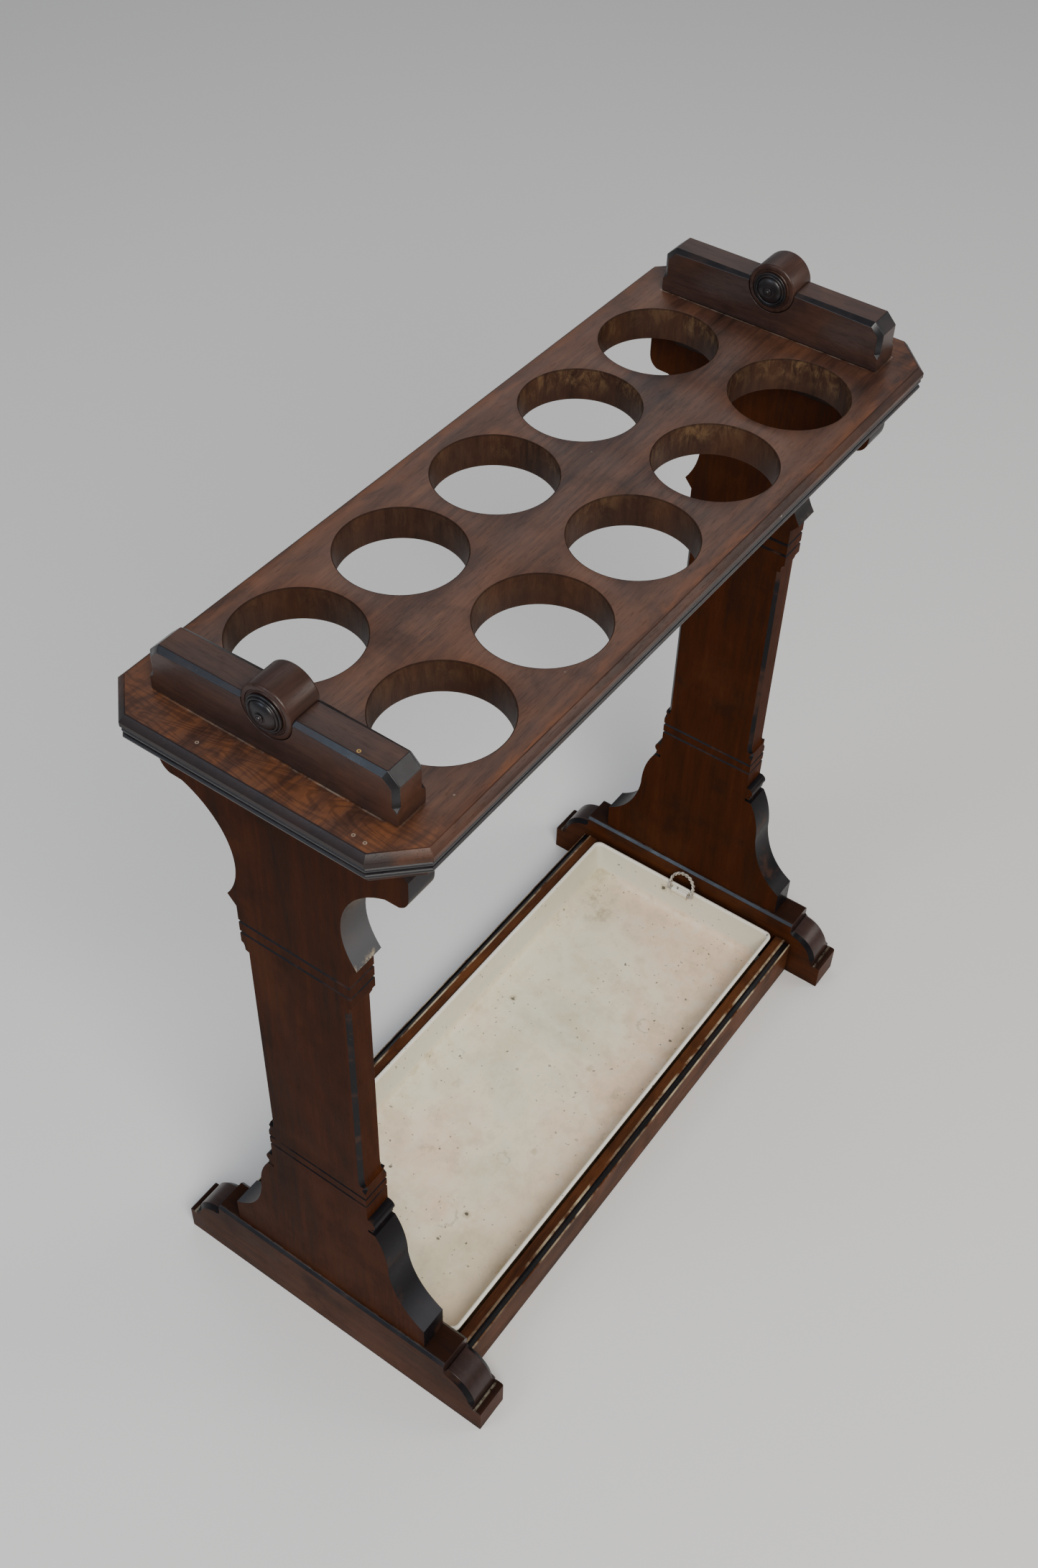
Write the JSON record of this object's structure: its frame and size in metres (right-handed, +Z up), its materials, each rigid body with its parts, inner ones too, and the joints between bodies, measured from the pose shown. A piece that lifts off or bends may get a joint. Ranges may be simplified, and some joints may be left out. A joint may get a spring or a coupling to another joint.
{
  "type": "umbrella stand",
  "caption": "Wooden stick and umbrella stand: a slab with round holes on two shaped end supports, with feet, rails and a lift-out metal drip tray.",
  "frame": {"origin": "on the floor, midway between the two feet", "axes": "+X along the length of the rack from the left end to the right end, +Y to the back, +Z up"},
  "size_m": [0.628, 0.307, 0.7203],
  "materials": {
    "walnut": "polished, worn",
    "dark_walnut": "polished, dark stained",
    "ebonised": "ebonised, glossy",
    "deal": "raw sawn",
    "enamel": "satin enamel, stained",
    "tin": "dull tinned",
    "steel": "plain"
  },
  "bodies": {
    "trestle": {"top_board": "walnut", "foot_left": "dark_walnut", "end_support_left": "walnut", "crest_bar_left": "walnut", "crest_roundel_left": "dark_walnut", "roundel_boss_left_outer": "ebonised", "roundel_boss_left_inner": "ebonised", "foot_right": "dark_walnut", "end_support_right": "walnut", "crest_bar_right": "walnut", "crest_roundel_right": "dark_walnut", "roundel_boss_right_outer": "ebonised", "roundel_boss_right_inner": "ebonised", "side_rail_front": "walnut", "tray_ledger_front": "deal", "side_rail_back": "walnut", "tray_ledger_back": "deal", "tray_slat_1": "deal", "tray_slat_2": "deal", "tray_slat_3": "deal", "tray_slat_4": "deal", "tray_slat_5": "deal", "foot_dowel_left_front": "deal", "board_dowel_left_front": "deal", "crest_screw_left_front": "steel", "glue_block_left_front": "deal", "foot_dowel_left_back": "deal", "board_dowel_left_back": "deal", "crest_screw_left_back": "steel", "glue_block_left_back": "deal", "foot_dowel_right_front": "deal", "board_dowel_right_front": "deal", "crest_screw_right_front": "steel", "glue_block_right_front": "deal", "foot_dowel_right_back": "deal", "board_dowel_right_back": "deal", "crest_screw_right_back": "steel", "glue_block_right_back": "deal"},
    "tray": {"drip_tray": "enamel", "tray_lug_left": "tin", "tray_lug_right": "tin"},
    "left_ring": {"tray_ring_left": "tin"},
    "right_ring": {"tray_ring_right": "tin"}
  },
  "joints": [
    {"name": "tray_lift", "type": "slide", "parent": "trestle", "child": "tray", "axis": [0, 0, 1], "range_m": [0, 0.12]},
    {"name": "left_ring_turn", "type": "hinge", "parent": "tray", "child": "left_ring", "pos_m": [-0.24788, 0, 0.0419], "axis": [0, 1, 0], "range_deg": [0, 178]},
    {"name": "right_ring_turn", "type": "hinge", "parent": "tray", "child": "right_ring", "pos_m": [0.24788, 0, 0.0419], "axis": [0, -1, 0], "range_deg": [0, 178]}
  ]
}
